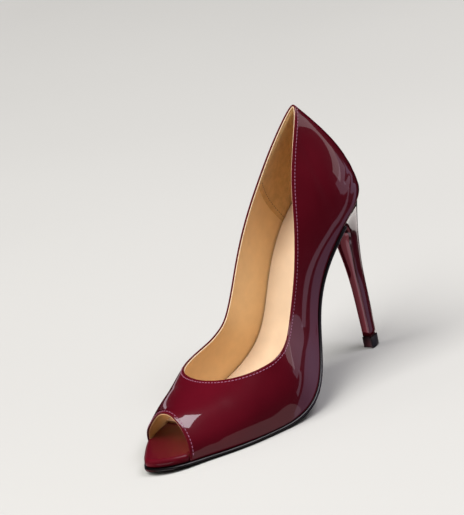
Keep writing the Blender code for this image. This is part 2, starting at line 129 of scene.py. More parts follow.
# Height of the topline over the feather edge, from the throat to the back, as a share of the back's height
TOPLINE_COLUMNS = ("way", "lateral", "medial")
THROAT_SHARE = 0.22
TOPLINE = (
    (0.15, 0.57, 0.55),
    (0.35, 0.52, 0.55),
    (0.60, 0.38, 0.52),
    (0.80, 0.66, 0.68),
    (1.00, 1.00, 1.00),
)

PEEP_CROWN_SHARE = 0.08
PEEP_LATERAL_SHARE = 0.07
PEEP_MEDIAL_SHARE = 0.11
PEEP_WAY = 0.2  # part of the upper's columns that start at the open toe

# The heel below its seat: distance ahead of the seat's back and height of its front and back, half its
# width, and how much of the seat's outline it keeps. Heights are shares of the heel height
HEEL_COLUMNS = ("front_reach", "front_height", "back_reach", "back_height", "half_width", "seat_form")
HEEL_TIP = (LIFT_HEIGHT + SEAM_GAP / 2) / HEEL_HEIGHT
HEEL = (
    (22.0, 0.80, -1.0, 0.90, 16.0, 0.50),
    (13.0, 0.72, -1.0, 0.76, 9.0, 0.15),
    (12.0, 0.66, -0.5, 0.68, 7.0, 0.0),
    (11.0, 0.56, 0.5, 0.56, 5.5, 0.0),
    (10.0, 0.44, 0.5, 0.44, 4.0, 0.0),
    (9.0, 0.30, 0.0, 0.30, 3.5, 0.0),
    (8.0, HEEL_TIP, -0.5, HEEL_TIP, 3.2, 0.0),
)

# Fineness of the meshes
PEEP_STEPS = 36
SIDE_STEPS = 110
SEAM_STEPS = 4
WALL_ROWS = 46
RIM_STEPS = 7
PLATE_STATIONS = 160
ROLL_STEPS = 9
HEEL_SIDE_POINTS = 40
HEEL_BREAST_POINTS = 17
HEEL_RINGS_PER_ROW = 9
CURVE_STEPS = 800
SECTION_STEPS = 400
SLOPE_HALVINGS = 40
LIFT_EDGE_STEPS = 5
GRIP_COLUMNS, GRIP_ROWS = 121, 40
GRIP_STITCH_POINTS = 80
STITCH_RINGS, STITCH_SIDES = 7, 8
ROW_PROBE = 1e-3  # how far to either side of a row the surface is read for its slope
EDGE_PROBE = 0.02  # the same for the edge that the stitching follows

# Leather layers and edges
PATENT_THICKNESS = 1.1
LINING_CLEARANCE = 0.04
LINING_EDGE_DROP = 0.35  # the lining's cut edge lies this far below the folded edge of the patent
EDGE_ROW = 0.04  # part of a column at each end that belongs to the rounded edge
MITRE_LEAST = 0.5
INSOLE_FLAT_START = 0.6
SOCK_ROUND_SHARE = 0.6  # of the sock's thickness
CORNER_ROUND = 0.28  # softness of the heel's front corners
CORNER_NEIGHBOURS = 9

# Rounding of the insole's lower edge, from its underside up: inset and rise, as shares of its roll
INSOLE_FOOT = ((1 / 2, 0.0), (1 / 8, 1 / 6), (0.0, 1 / 2))

# The heel grip: where its front edge starts and ends along the shoe, how that edge bends, and its border
GRIP_THICKNESS = 0.45
GRIP_FRONT_LOW, GRIP_FRONT_HIGH = 0.84, 0.85
GRIP_FRONT_BEND = 1.6
GRIP_FOOT_V = 0.005
GRIP_TOP_GAP = 0.008
GRIP_SINK = 0.2
GRIP_BORDER = 0.03
GRIP_BORDER_STRETCH = 1.5  # the border is narrower at the top and the foot
GRIP_STITCH_WAYS = (0.955, 0.965, 0.975)  # the stitches run along the middle one
GRIP_STITCH_MARGIN = 0.03

# A stitch: its width at the ends, how deep they dive, and how flat the thread is
STITCH_END_WIDTH = 0.35
STITCH_DIVE = 0.55
STITCH_FLATNESS = 0.55


def natural_spline(xs, ys):
    """Smooth curve through the rows of a table, with no bend at its two ends."""
    xs = np.asarray(xs, float)
    ys = np.asarray(ys, float)
    count = len(xs)
    step = np.diff(xs)
    system = np.eye(count)
    right = np.zeros(count)
    for i in range(1, count - 1):
        system[i, i - 1 : i + 2] = step[i - 1], 2 * (step[i - 1] + step[i]), step[i]
        right[i] = 6 * ((ys[i + 1] - ys[i]) / step[i] - (ys[i] - ys[i - 1]) / step[i - 1])
    bend = np.linalg.solve(system, right)

    def value(x):
        x = np.asarray(x, float)
        i = np.clip(np.searchsorted(xs, x) - 1, 0, count - 2)
        a = (xs[i + 1] - x) / step[i]
        b = (x - xs[i]) / step[i]
        cubic = (a**3 - a) * bend[i] + (b**3 - b) * bend[i + 1]
        return a * ys[i] + b * ys[i + 1] + cubic * step[i] ** 2 / 6

    return value


def monotone_curve(xs, ys):
    """Smooth curve through the rows of a table that never overshoots, and stays flat between equal rows."""
    xs = np.asarray(xs, float)
    ys = np.asarray(ys, float)
    step = np.diff(xs)
    rise = np.diff(ys) / step
    slope = np.zeros(len(xs))
    for i in range(1, len(xs) - 1):
        if rise[i - 1] * rise[i] > 0:
            w1 = 2 * step[i] + step[i - 1]
            w2 = step[i] + 2 * step[i - 1]
            slope[i] = (w1 + w2) / (w1 / rise[i - 1] + w2 / rise[i])
    slope[0] = rise[0]
    slope[-1] = rise[-1]

    def value(x):
        x = np.asarray(x, float)
        i = np.clip(np.searchsorted(xs, x) - 1, 0, len(xs) - 2)
        t = (x - xs[i]) / step[i]
        return (
            ys[i] * (1 + 2 * t) * (1 - t) ** 2
            + slope[i] * step[i] * t * (1 - t) ** 2
            + ys[i + 1] * t**2 * (3 - 2 * t)
            + slope[i + 1] * step[i] * t**2 * (t - 1)
        )

    return value


def column(table, columns, name):
    return [row[columns.index(name)] for row in table]


def table_curve(table, columns, name, kind=natural_spline, size=1.0):
    """Curve through one column of a table, whose values are shares of a size."""
    return kind(column(table, columns, columns[0]), [size * share for share in column(table, columns, name)])


def smooth(t):
    t = np.clip(t, 0.0, 1.0)
    return t * t * (3 - 2 * t)


def unit(vectors):
    return vectors / np.linalg.norm(vectors, axis=-1, keepdims=True)


def round_step(points):
    """From each point's neighbour behind to the one ahead, on a loop of columns."""
    return np.roll(points, -1, axis=0) - np.roll(points, 1, axis=0)


# The bottom of the last, seen from the side

curve_shares = np.linspace(0.0, 1.0, CURVE_STEPS + 1)
slope_form = table_curve(BOTTOM, BOTTOM_COLUMNS, "slope", monotone_curve)(curve_shares)


def integrated(rate):
    step = FEATHER_LENGTH / CURVE_STEPS
    return np.concatenate([[0.0], np.cumsum((rate[1:] + rate[:-1]) / 2 * step)])


def seat_height(steepest):
    """Height of the seat's back over the floor, for the steepest slope of the bottom."""
    rise = integrated(np.sin(steepest * slope_form))
    return rise[-1] - rise.min() + OUTSOLE_THICKNESS


def steepest_slope():
    """The slope that lifts the seat to the heel height, found by halving."""
    low, high = 0.0, np.pi / 2
    for _ in range(SLOPE_HALVINGS):
        middle = (low + high) / 2
        if seat_height(middle) < HEEL_HEIGHT:
            low = middle
        else:
            high = middle
    return high


curve_slopes = steepest_slope() * slope_form
curve_y = integrated(np.cos(curve_slopes))
curve_z = integrated(np.sin(curve_slopes))
curve_z += OUTSOLE_THICKNESS - curve_z.min()

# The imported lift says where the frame's origin lies: its middle is the last's centre line
LIFT_LOW, LIFT_HIGH = (np.array(corner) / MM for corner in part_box("top_lift"))
CENTRE_X = (LIFT_LOW[0] + LIFT_HIGH[0]) / 2
TIP_SIZES = dict(zip(HEEL_COLUMNS, HEEL[-1]))
SEAT_BACK_Y = LIFT_HIGH[1] - LIFT_OVERHANG + TIP_SIZES["back_reach"]
curve_y += SEAT_BACK_Y - curve_y[-1]


def place(share, x, height, along=0.0):
    """A point at this share of the length, x to the side, and this far off the bottom of the last."""
    slope = np.interp(share, curve_shares, curve_slopes)
    y = np.interp(share, curve_shares, curve_y) + along * np.cos(slope) - height * np.sin(slope)
    z = np.interp(share, curve_shares, curve_z) + along * np.sin(slope) + height * np.cos(slope)
    return np.stack(np.broadcast_arrays(x, y, z), axis=-1)


# The last: a closed form whose walls run from the feather edge to the crown

last_width = table_curve(LAST, LAST_COLUMNS, "width", size=BALL_WIDTH)
last_swing = table_curve(LAST, LAST_COLUMNS, "swing", size=BALL_WIDTH)
crown_height = table_curve(LAST, LAST_COLUMNS, "crown", monotone_curve, INSTEP_HEIGHT)
shoulder_share = table_curve(LAST, LAST_COLUMNS, "shoulder")
ridge_share = table_curve(LAST, LAST_COLUMNS, "ridge")


def half_width(share, side):
    return last_width(share) / 2 + side * last_swing(share)


def end_rounding(share):
    """Factor on the width that rounds the toe and the heel in plan."""
    toe = np.clip((TOE_ROUND_SHARE - share) / TOE_ROUND_SHARE, 0, 1)
    heel = np.clip((share - 1 + HEEL_ROUND_SHARE) / HEEL_ROUND_SHARE, 0, 1)
    toe_factor = (1 - toe**TOE_ROUND_POWER) ** (1 / TOE_ROUND_POWER)
    return toe_factor * (1 - heel**HEEL_ROUND_POWER) ** (1 / HEEL_ROUND_POWER)


def feather(share, side):
    """Half width at the feather edge, where the upper meets the sole."""
    return half_width(share, side) * end_rounding(share)


DEGREE = 3
SECTION_POINTS = 8
SECTION_KNOTS = np.concatenate(
    [np.zeros(DEGREE), np.linspace(0, 1, SECTION_POINTS - DEGREE + 1), np.ones(DEGREE)]
)
SECTION_END = 1.0 - 1e-12  # just inside the last span, which is open at its end


def section_weights(v):
    """Weights of a section's control points in a cubic B-spline, at v from 0 (lateral) to 1 (medial)."""
    knots = SECTION_KNOTS
    v = np.clip(np.asarray(v, float), 0.0, SECTION_END)
    weights = [((knots[i] <= v) & (v < knots[i + 1])).astype(float) for i in range(len(knots) - 1)]
    for degree in range(1, DEGREE + 1):
        raised = []
        for i in range(len(weights) - 1):
            below = knots[i + degree] - knots[i]
            above = knots[i + degree + 1] - knots[i + 1]
            weight = np.zeros_like(v)
            if below > 0:
                weight = weight + (v - knots[i]) / below * weights[i]
            if above > 0:
                weight = weight + (knots[i + degree + 1] - v) / above * weights[i + 1]
            raised.append(weight)
        weights = raised
    return np.stack(weights, axis=-1)


HEIGHT_SHARES = np.array([0, SWELL_SHARE, SHOULDER_SHARE, 1, 1, SHOULDER_SHARE, SWELL_SHARE, 0])


def last_point(share, v):
    """A point on the last, at v from 0 (lateral feather edge) over the crown to 1 (medial feather edge)."""
    share, v = np.broadcast_arrays(np.asarray(share, float), np.asarray(v, float))
    rounding = end_rounding(share)
    shoulder = shoulder_share(share)
    ridge = ridge_share(share)
    sides = []
    for side in (LATERAL, MEDIAL):
        edge = half_width(share, side)
        full = edge + SWELL
        sides.append([side * w * rounding for w in (edge, full, full * shoulder, edge * ridge)])
    across = np.stack(sides[0] + sides[1][::-1], axis=-1)
    weights = section_weights(v)
    x = (weights * across).sum(-1)
    height = (weights @ HEIGHT_SHARES) * crown_height(share) + SEAM_GAP / 2
    rise = height / BACK_HEIGHT
    ramp = np.clip((share - BACK_START_SHARE) / (1 - BACK_START_SHARE), 0, 1) ** 2
    swell = BACK_SWELL * 4 * rise * (1 - rise) * np.exp(-BACK_FADE * rise)
    return place(share, x, height, ramp * (swell - BACK_LEAN * rise * rise))


HALF_SECTION = np.linspace(0.0, 0.5, SECTION_STEPS + 1)
HALF_SECTION_HEIGHT = section_weights(HALF_SECTION) @ HEIGHT_SHARES
CROWN_RATIO = HALF_SECTION_HEIGHT[-1]


def topline(way, side):
    """(share, v) of the collar's edge, from the throat (way 0) to the back (way 1)."""
    share = THROAT_SHARE + (1 - THROAT_SHARE) * np.asarray(way, float)
    name = "lateral" if side == LATERAL else "medial"
    ways = [0.0] + column(TOPLINE, TOPLINE_COLUMNS, "way")
    throat = crown_height(THROAT_SHARE) * CROWN_RATIO / BACK_HEIGHT
    shares = [throat] + column(TOPLINE, TOPLINE_COLUMNS, name)
    height = BACK_HEIGHT * natural_spline(ways, shares)(way)
    v = np.interp(np.minimum(height / crown_height(share), CROWN_RATIO), HALF_SECTION_HEIGHT, HALF_SECTION)
    return share, v if side == LATERAL else 1 - v


def peep_edge(reach, side):
    """(share, v) of the open toe's edge, from the crown (reach 0) to the feather edge (reach 1)."""
    reach = np.asarray(reach, float)
    end = PEEP_LATERAL_SHARE if side == LATERAL else PEEP_MEDIAL_SHARE
    share = PEEP_CROWN_SHARE + (end - PEEP_CROWN_SHARE) * reach**2
    return share, 0.5 * (1 - side * reach)


# The upper as a field: columns round the shoe, rows from its lower edge to the topline

seam_ways = 1 - np.linspace(1.0, 0.0, SEAM_STEPS + 1)[1:] * (1 - PEEP_WAY) / SIDE_STEPS
side_ways = np.concatenate(
    [
        np.linspace(0.0, PEEP_WAY, PEEP_STEPS, endpoint=False),
        np.linspace(PEEP_WAY, 1.0, SIDE_STEPS, endpoint=False),
        seam_ways,
    ]
)
LOOP_HALF = len(side_ways) - 1


def edge_ends(side):
    """(share, v) where each column of one side starts, and (share, v) where it ends at the topline."""
    arch = side_ways <= PEEP_WAY
    arch_share, arch_v = peep_edge(side_ways[arch] / PEEP_WAY, side)
    along = (side_ways[~arch] - PEEP_WAY) / (1 - PEEP_WAY)
    edge_share = arch_share[-1] + (1 - arch_share[-1]) * np.sin(along * np.pi / 2)
    low = np.concatenate([arch_share, edge_share]), np.concatenate([arch_v, np.full(len(along), arch_v[-1])])
    return low, topline((1 - np.cos(np.pi * side_ways)) / 2, side)


def round_the_shoe(of_side):
    """Joins one side's columns, front to back, with the other side's, back to front."""
    return np.concatenate([of_side(LATERAL), of_side(MEDIAL)[-2:0:-1]])


low_share, low_v, high_share, high_v = (
    round_the_shoe(lambda side, e=e, k=k: edge_ends(side)[e][k]) for e in (0, 1) for k in (0, 1)
)
side_round = round_the_shoe(lambda side: np.full(len(side_ways), float(side)))


def between_edges(row):
    """(share, v) on the last at rows between each column's lower edge (0) and the topline (1)."""
    share = low_share[:, None] * (1 - row) + high_share[:, None] * row
    return share, low_v[:, None] * (1 - row) + high_v[:, None] * row


def wall_field(row):
    """Points and outward normals of the upper's surface at rows of each column, and their shares."""
    row = np.broadcast_to(np.asarray(row, float), (len(low_share), np.shape(row)[-1]))
    share, v = between_edges(row)
    points = last_point(share, v)
    points[LOOP_HALF, :, 0] = 0.0
    above = last_point(*between_edges(np.minimum(row + ROW_PROBE, 1.0)))
    below = last_point(*between_edges(np.maximum(row - ROW_PROBE, 0.0)))
    normals = unit(np.cross(round_step(points), above - below))
    normals[LOOP_HALF, :, 0] = 0.0
    return points, unit(normals), share


# Soft relief of the leather. Each crease is a trough (negative depth) or a ridge on the
# wall: its sides, share of the length, height over the feather edge, lean in degrees, reach along it, half
# width and depth. The first is the long swell over the waist, the others gather at the counter and the seat
BOTH_SIDES, OUTER_SIDE, INNER_SIDE = (LATERAL, MEDIAL), (LATERAL,), (MEDIAL,)
CREASE_COLUMNS = ("sides", "share", "height", "lean", "reach", "half_width", "depth")
CREASES = (
    (BOTH_SIDES, 0.620, 11.5, -6.0, 62.0, 9.0, 0.60),
    (BOTH_SIDES, 0.905, 36.0, 62.0, 17.0, 2.6, -0.45),
    (BOTH_SIDES, 0.875, 33.0, 62.0, 15.0, 3.0, 0.30),
    (OUTER_SIDE, 0.955, 15.0, 8.0, 11.0, 1.3, -0.16),
    (OUTER_SIDE, 0.952, 11.0, 12.0, 12.0, 1.2, 0.12),
    (OUTER_SIDE, 0.948, 7.5, 10.0, 13.0, 1.1, -0.14),
    (INNER_SIDE, 0.955, 14.0, 8.0, 11.0, 1.3, -0.16),
    (INNER_SIDE, 0.950, 9.0, 10.0, 12.0, 1.2, 0.12),
)
BACK_SEAM_DEPTH = 0.24
BACK_SEAM_HALF_WIDTH = 0.42
BACK_SEAM_SHARE = 0.93


def relief(points, share, row):
    """How far the patent stands out (or in) at each point, in millimetres."""
    heights = np.linalg.norm(points - points[:, :1], axis=2)
    total = np.zeros(share.shape)
    for crease in CREASES:
        size = dict(zip(CREASE_COLUMNS, crease))
        lean = math.radians(size["lean"])
        along = (share - size["share"]) * FEATHER_LENGTH
        up = heights - size["height"]
        lengthwise = (along * math.cos(lean) + up * math.sin(lean)) / size["reach"]
        across = (-along * math.sin(lean) + up * math.cos(lean)) / size["half_width"]
        on_side = np.isin(side_round, size["sides"])[:, None]
        total += size["depth"] * np.exp(-(lengthwise**2) - across**2) * on_side
    seam = np.exp(-((points[..., 0] / BACK_SEAM_HALF_WIDTH) ** 2)) * (share > BACK_SEAM_SHARE)
    fade = smooth(row / EDGE_ROW) * smooth((1 - row) / EDGE_ROW)
    return (total - BACK_SEAM_DEPTH * seam) * fade


def wall_shell(near, far, drop, with_relief):
    """A leather layer of the upper between two depths, its edges rounded and held back by a drop.

    Returns points, columns by profile: the face, the top edge, the inside and the foot."""
    row = np.concatenate([[0.0], np.linspace(EDGE_ROW, 1 - EDGE_ROW, WALL_ROWS), [1.0]])
    points, normals, share = wall_field(row)
    if with_relief:
        points = points + normals * relief(points, share, row)[..., None]
    around = unit(round_step(points))
    radius = (far - near) / 2
    turn = np.linspace(0.0, np.pi, RIM_STEPS)[:, None, None]

    def rim(index, outward):
        """Half round from the near face over the edge to the far face."""
        away = outward * unit(np.cross(normals[:, index], around[:, index]))
        middle = points[:, index] - normals[:, index] * (near + radius) - away * (radius + drop)
        arc = middle + radius * (np.cos(turn) * normals[:, index] + np.sin(turn) * away)
        return arc.transpose(1, 0, 2)

    top = rim(-1, 1.0)
    foot = rim(0, -1.0)[:, ::-1]
    face = points[:, 1:-1] - normals[:, 1:-1] * near
    inside = (points[:, 1:-1] - normals[:, 1:-1] * far)[:, ::-1]
    return np.concatenate([face, top, inside, foot], axis=1)


def cells(columns, rows):
    """Column and row of each cell of a grid, column by column."""
    return (index.ravel() for index in np.meshgrid(range(columns), range(rows), indexing="ij"))


def shell_mesh(points):
    """Mesh of a layer that closes round the shoe and round its own profile."""
    columns, profile = points.shape[:2]
    i, k = cells(columns, profile)
    j, m = (i + 1) % columns, (k + 1) % profile
    faces = np.column_stack([i * profile + k, j * profile + k, j * profile + m, i * profile + m])
    return points.reshape(-1, 3), faces.tolist()


# Plates that follow the bottom of the last

QUARTER_TURN = np.linspace(0.0, np.pi / 2, ROLL_STEPS)


def plate_outline(width, start, end):
    """Closed outline in the unrolled bottom: distance from the toe, and x. Outer side first, then inner."""
    turn = np.linspace(0.0, np.pi, PLATE_STATIONS)
    share = start + (end - start) * (1 - np.cos(turn)) / 2
    outer = np.column_stack([share * FEATHER_LENGTH, width(share, LATERAL)])
    inner = np.column_stack([share * FEATHER_LENGTH, -width(share, MEDIAL)])
    return np.concatenate([outer, inner[::-1]])


def inset(outline, distance):
    """The outline drawn in by a distance, square to its edges."""
    edge = unit(np.roll(outline, -1, axis=0) - outline)
    normal = np.column_stack([edge[:, 1], -edge[:, 0]])
    inward = unit(normal + np.roll(normal, 1, axis=0))
    mitre = np.clip((inward * normal).sum(1), MITRE_LEAST, 1.0)
    return outline + inward * (distance / mitre)[:, None]


def plate(outline, layers):
    """Rings of a plate from its underside to its top; each layer gives an inset and a height by share."""
    rings = []
    for distance, height in layers:
        ring = inset(outline, distance(outline[:, 0] / FEATHER_LENGTH))
        share = np.clip(ring[:, 0] / FEATHER_LENGTH, 0.0, 1.0)
        along = ring[:, 0] - share * FEATHER_LENGTH
        rings.append(place(share, ring[:, 1], height(share), along))
    return rings


def level(value):
    return lambda share: np.full_like(share, value)


def insole_top(share):
    thinning = smooth((share - SOCK_FRONT_SHARE) / INSOLE_TAPER_SHARE)
    return TOE_INSOLE_THICKNESS + (SEAT_INSOLE_THICKNESS - TOE_INSOLE_THICKNESS) * thinning


inside_wall = inset(plate_outline(feather, TIP_SHARE, TAIL_SHARE), WALL + SEAM_GAP)
inside_half = {LATERAL: inside_wall[:PLATE_STATIONS], MEDIAL: inside_wall[: PLATE_STATIONS - 1 : -1]}


def insole_width(share, side):
    """Full width in the open toe, and inside the upper's wall behind it."""
    corner = PEEP_LATERAL_SHARE if side == LATERAL else PEEP_MEDIAL_SHARE
    behind = smooth((share - corner + INSOLE_STEP_START) / INSOLE_STEP_SHARE)
    narrow = np.interp(share * FEATHER_LENGTH, inside_half[side][:, 0], np.abs(inside_half[side][:, 1]))
    return (1 - behind) * feather(share, side) + behind * narrow


def insole_rings():
    def roll(share):
        return INSOLE_ROLL * insole_top(share) / TOE_INSOLE_THICKNESS

    layers = []
    for inward, rise in INSOLE_FOOT:
        layers.append(
            (
                lambda share, inward=inward: inward * roll(share),
                lambda share, rise=rise: SEAM_GAP / 2 + rise * roll(share),
            )
        )
    for turn in QUARTER_TURN:
        layers.append(
            (
                lambda share, turn=turn: roll(share) * (1 - np.cos(turn)),
                lambda share, turn=turn: insole_top(share) - roll(share) * (1 - np.sin(turn)),
            )
        )
    layers.append((lambda share: roll(share) + INSOLE_FLAT_START, insole_top))
    end = TAIL_SHARE - (WALL + SEAM_GAP) / FEATHER_LENGTH
    return plate(plate_outline(insole_width, TIP_SHARE, end), layers)


def sock_rings():
    edge = SOCK_ROUND_SHARE * SOCK_THICKNESS
    layers = [(level(0.0), lambda share: insole_top(share) + SEAM_GAP)]
    for turn in QUARTER_TURN:
        drop = edge * (1 - math.sin(turn)) - SOCK_THICKNESS
        layers.append(
            (level(edge * (1 - math.cos(turn))), lambda share, d=drop: insole_top(share) + SEAM_GAP - d)
        )
    layers.append((level(2 * edge), lambda share: insole_top(share) + SEAM_GAP + SOCK_THICKNESS))
    end = TAIL_SHARE - (WALL + SEAM_GAP + SOCK_INSET) / FEATHER_LENGTH

    def width(share, side):
        return insole_width(share, side) - SOCK_INSET

    return plate(plate_outline(width, SOCK_FRONT_SHARE, end), layers)


def outsole_rings():
    radius = OUTSOLE_EDGE_ROUND
    layers = [(level(2 * radius - OUTSOLE_EDGE_OUT), level(-OUTSOLE_THICKNESS))]
    for end, start, rise in ((-OUTSOLE_THICKNESS, -np.pi / 2, 1), (-SEAM_GAP / 2, 0.0, -1)):
        for turn in start + QUARTER_TURN:
            height = end + rise * radius + radius * math.sin(turn)
            layers.append((level(radius * (1 - math.cos(turn)) - OUTSOLE_EDGE_OUT), level(height)))
    layers.append((level(2 * radius - OUTSOLE_EDGE_OUT), level(-SEAM_GAP / 2)))
    end = BREAST_SHARE - SEAM_GAP / FEATHER_LENGTH
    return plate(plate_outline(feather, TIP_SHARE, end), layers)


# The heel and its lift: rings with a nearly flat front (the breast) and a round back

heel_turn = np.linspace(0.0, np.pi, 2 * HEEL_SIDE_POINTS + 1)
breast_way = np.linspace(-1.0, 1.0, HEEL_BREAST_POINTS + 2)[1:-1]


def seat_edge():
    """The heel seat's outline, from its outer front corner round the back to its inner front corner."""
    share = BREAST_SHARE + (TAIL_SHARE - BREAST_SHARE) * np.sin(heel_turn)
    x = np.where(heel_turn < np.pi / 2, feather(share, LATERAL), -feather(share, MEDIAL))
    x = np.sign(x) * np.maximum(np.abs(x) - HEEL_INSET, 0.0)
    x[HEEL_SIDE_POINTS] = 0.0
    return place(share, x, -SEAM_GAP / 2)


def d_ring(front, back, half_width, hollow, plan):
    """Closed ring between two points (y, z): plan gives x round the back, as shares of the half width."""
    depth = np.subtract(back, front)
    round_part = np.column_stack([half_width * plan, front + np.sin(heel_turn)[:, None] * depth])
    dip = hollow * (1 - breast_way**2)
    breast = np.column_stack([half_width * breast_way, front + dip[:, None] * depth])
    return np.concatenate([round_part, breast])


def softened(ring):
    """The ring with its corners rounded: each point moves to the average of those near it."""
    weighted = np.zeros_like(ring)
    total = np.zeros(len(ring))
    for shift in range(-CORNER_NEIGHBOURS, CORNER_NEIGHBOURS + 1):
        other = np.roll(ring, shift, axis=0)
        weight = np.exp(-(((other - ring) ** 2).sum(1)) / (2 * CORNER_ROUND**2))
        weighted += weight[:, None] * other
        total += weight
    return weighted / total[:, None]


def heel_rings():
    seat = seat_edge()
    front, back = seat[0, 1:], seat[HEEL_SIDE_POINTS, 1:]
    seat_half_width = (seat[0, 0] - seat[-1, 0]) / 2
    seat_plan = seat[:, 0] / seat_half_width
    sag = seat[:, 1:] - (front + np.sin(heel_turn)[:, None] * (back - front))
    reach = SEAT_BACK_Y - seat[[0, HEEL_SIDE_POINTS], 1]
    height = seat[[0, HEEL_SIDE_POINTS], 2] / HEEL_HEIGHT
    rows = ((reach[0], height[0], reach[1], height[1], seat_half_width, 1.0),) + HEEL
    fine = np.linspace(0, len(HEEL), HEEL_RINGS_PER_ROW * len(HEEL) + 1)
    size = {}
    for name in HEEL_COLUMNS:
        size[name] = natural_spline(range(len(rows)), column(rows, HEEL_COLUMNS, name))(fine)
    rings = []
    for i in range(len(fine)):
        form = np.clip(size["seat_form"][i], 0.0, 1.0)
        ring = d_ring(
            (SEAT_BACK_Y - size["front_reach"][i], HEEL_HEIGHT * size["front_height"][i]),
            (SEAT_BACK_Y - size["back_reach"][i], HEEL_HEIGHT * size["back_height"][i]),
            size["half_width"][i],
            BREAST_HOLLOW * (1 - form),
            (1 - form) * np.cos(heel_turn) + form * seat_plan,
        )
        ring[: len(sag), 1:] += form * sag
        rings.append(softened(ring))
    return rings[::-1]


def lift_rings():
    rings = []
    bevel = np.linspace(0.0, np.pi / 2, LIFT_EDGE_STEPS)
    steps = [(LIFT_EDGE * (1 - math.cos(t)), LIFT_OVERHANG - LIFT_EDGE * (1 - math.sin(t))) for t in bevel]
    top = LIFT_HEIGHT - SEAM_GAP / 2
    steps += [(top - LIFT_EDGE / 2, LIFT_OVERHANG), (top, LIFT_OVERHANG - LIFT_EDGE / 2)]
    for height, grow in steps:
        front = (SEAT_BACK_Y - TIP_SIZES["front_reach"] - grow, height)
        back = (SEAT_BACK_Y - TIP_SIZES["back_reach"] + grow, height)
        ring = d_ring(front, back, TIP_SIZES["half_width"] + grow, BREAST_HOLLOW, np.cos(heel_turn))
        rings.append(softened(ring))
    return rings


# Meshes


def ring_faces(count, rings):
    i, k = cells(count, rings - 1)
    j = (i + 1) % count
    return np.column_stack([k * count + i, k * count + j, (k + 1) * count + j, (k + 1) * count + i]).tolist()


def ladder(count, first):
    """Cap across a ring whose second half runs back beside the first."""
    last = first + count - 1
    return [(first + i, first + i + 1, last - i - 1, last - i) for i in range(count // 2 - 1)]


def plate_mesh(rings):
    count = len(rings[0])
    faces = ring_faces(count, len(rings))
    faces += [face[::-1] for face in ladder(count, 0)]
    faces += ladder(count, count * (len(rings) - 1))
    return np.concatenate(rings), faces


def column_mesh(rings):
    """Rings closed by a flat face at each end."""
    count = len(rings[0])
    first = count * (len(rings) - 1)
    faces = ring_faces(count, len(rings))
    faces += [tuple(range(count))[::-1], tuple(range(first, first + count))]
    return np.concatenate(rings), faces


def slab_mesh(front, back):
    """Closed mesh between two grids of the same size, the front one facing out."""
    columns, rows = front.shape[:2]
    offset = columns * rows
    i, k = cells(columns - 1, rows - 1)
    a = i * rows + k
    quads = np.column_stack([a, a + rows, a + rows + 1, a + 1])
    faces = quads.tolist() + (offset + quads[:, ::-1]).tolist()
    edge = [c * rows for c in range(columns)]
    edge += [(columns - 1) * rows + r for r in range(1, rows)]
    edge += [c * rows + rows - 1 for c in range(columns - 2, -1, -1)]
    edge += list(range(rows - 2, 0, -1))
    for a, b in zip(edge, edge[1:] + edge[:1]):
        faces.append((offset + a, offset + b, b, a))
    return np.concatenate([front.reshape(-1, 3), back.reshape(-1, 3)]), faces


def stitch_mesh(path, normals, closed, sizes):
    """Stitches along a path on the leather: short rounded threads whose ends dive into it."""
    if closed:
        path = np.concatenate([path, path[:1]])
        normals = np.concatenate([normals, normals[:1]])
    run = np.concatenate([[0.0], np.cumsum(np.linalg.norm(np.diff(path, axis=0), axis=1))])
    count = int(run[-1] / sizes.stitch_pitch)
    pitch = run[-1] / count
    middles = (np.arange(count) + 0.5) * pitch
    rings, sides = STITCH_RINGS, STITCH_SIDES
    span = np.linspace(-0.5, 0.5, rings)
    at = middles[:, None] + span * sizes.stitch_length
    centre = np.stack([np.interp(at, run, path[:, k]) for k in range(3)], axis=-1)
    normal = unit(np.stack([np.interp(at, run, normals[:, k]) for k in range(3)], axis=-1))
    tangent = unit(np.gradient(centre, axis=1))
    across = unit(np.cross(normal, tangent))
    bow = np.sqrt(np.maximum(1 - (2 * span) ** 2, 0.0))
    width = sizes.thread_width / 2 * (STITCH_END_WIDTH + (1 - STITCH_END_WIDTH) * bow)
    lift = sizes.thread_height * (bow - STITCH_DIVE)
    angle = np.linspace(0.0, 2 * np.pi, sides, endpoint=False)
    centre = centre + normal * lift[None, :, None]
    points = (
        centre[:, :, None]
        + across[:, :, None] * (np.cos(angle) * width[:, None])[None, :, :, None]
        + normal[:, :, None] * (np.sin(angle) * STITCH_FLATNESS * width[:, None])[None, :, :, None]
    )
    faces = []
    for s in range(count):
        first = s * rings * sides
        faces += [tuple(first + p for p in face) for face in ring_faces(sides, rings)]
        faces.append(tuple(range(first + sides - 1, first - 1, -1)))
        faces.append(tuple(range(first + (rings - 1) * sides, first + rings * sides)))
    return points.reshape(-1, 3), faces


def edge_path(distance, at_top):
    """Path on the upper's surface at a distance inside its topline or its lower edge, with normals."""
    points, _, _ = wall_field([1.0 - EDGE_PROBE, 1.0] if at_top else [0.0, EDGE_PROBE])
    edge = points[:, 1] if at_top else points[:, 0]
    around = unit(round_step(edge))
    square = np.linalg.norm(np.cross(points[:, 1] - points[:, 0], around), axis=1) / EDGE_PROBE
    row = (1 - distance / square) if at_top else distance / square
    points, normals, _ = wall_field(row[:, None])
    return points[:, 0], normals[:, 0]


def shoe_object(name, mesh_data, materials, replaces=None, face_materials=None):
    """One piece of the shoe: a smooth-shaded mesh that rides with the part."""
    points, faces = mesh_data
    mesh = bpy.data.meshes.new(name)
    shift = np.array([CENTRE_X, 0.0, 0.0])
    mesh.from_pydata(((points + shift) * MM).tolist(), [], faces)
    for material in materials:
        mesh.materials.append(material)
    if face_materials is not None:
        mesh.polygons.foreach_set("material_index", np.asarray(face_materials, np.int32))
    mesh.shade_smooth()
    mesh.update()
    piece = bpy.data.objects.new(name, mesh)
    bpy.context.scene.collection.objects.link(piece)
    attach(piece, "root")
    if replaces:
        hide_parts(replaces)
    return piece


# Materials


